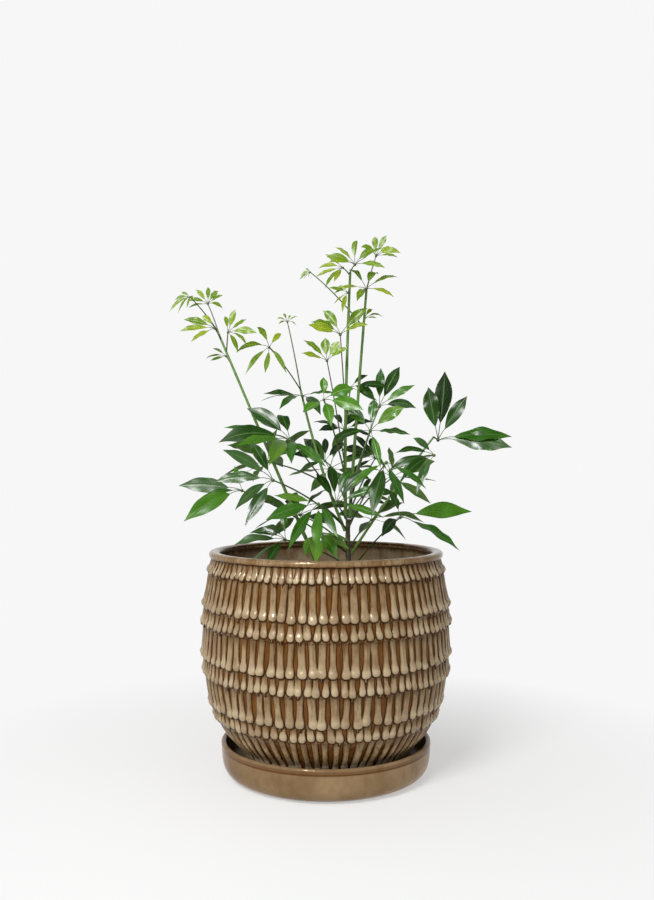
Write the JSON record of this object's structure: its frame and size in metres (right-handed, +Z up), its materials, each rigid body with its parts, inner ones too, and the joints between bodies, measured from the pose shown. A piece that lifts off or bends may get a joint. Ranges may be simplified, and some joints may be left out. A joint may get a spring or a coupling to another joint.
{
  "type": "potted dwarf umbrella tree",
  "caption": "Young umbrella tree with several upright shoots and rosettes of leaflets on long stalks, in a carved, glazed brown pot filled with soil, on a matching saucer.",
  "frame": {"origin": "centre of the saucer's flat underside", "axes": "+Z up, -Y towards the viewer of the picture, +X to the viewer's right"},
  "size_m": [0.3413, 0.2679, 0.5385],
  "materials": {
    "pot_glaze": "glossy brown glaze that thins to a light taupe on the carved strokes",
    "saucer_glaze": "glossy brown glaze",
    "soil": "dark, crumbly potting soil",
    "bark": "fine, matt bark",
    "green_stem": "smooth green stem",
    "leaf_old": "waxy, dark leaf",
    "leaf_grown": "waxy, glossy leaf",
    "leaf_fresh": "soft, mid-green leaf",
    "leaf_young": "soft, yellow-green leaf"
  },
  "bodies": {
    "root": {"saucer": "saucer_glaze", "pot": "pot_glaze", "soil": "soil", "trunk": "bark", "shoot_left": "green_stem", "shoot_middle": "green_stem", "shoot_centre": "green_stem", "shoot_right": "green_stem", "shoot_far_right": "green_stem", "leaves_top_left": "leaf_young", "leaves_top_middle": "leaf_young", "leaves_top_centre": "leaf_young", "leaves_top_right": "leaf_young", "leaves_far_right": "leaf_grown", "leaves_centre_high": "leaf_fresh", "leaves_centre_young": "leaf_fresh", "leaves_centre_fresh": "leaf_fresh", "leaves_centre_back": "leaf_grown", "leaves_right_inner": "leaf_grown", "leaves_right_high": "leaf_grown", "leaves_right_front": "leaf_grown", "leaves_right_back": "leaf_old", "leaves_front": "leaf_grown", "leaves_right_low": "leaf_grown", "leaves_left_high": "leaf_grown", "leaves_left_far": "leaf_grown", "leaves_left_front": "leaf_grown", "leaves_inner_left": "leaf_old", "leaves_inner_back": "leaf_old", "leaves_left_low": "leaf_grown", "leaves_front_centre": "leaf_grown", "leaves_inner_right": "leaf_old", "leaves_front_low": "leaf_fresh", "leaves_back_left_high": "leaf_grown", "leaves_back_high": "leaf_grown", "leaves_back_right_high": "leaf_grown", "leaves_back_left_low": "leaf_grown", "leaves_back_right_low": "leaf_grown"}
  },
  "joints": []
}
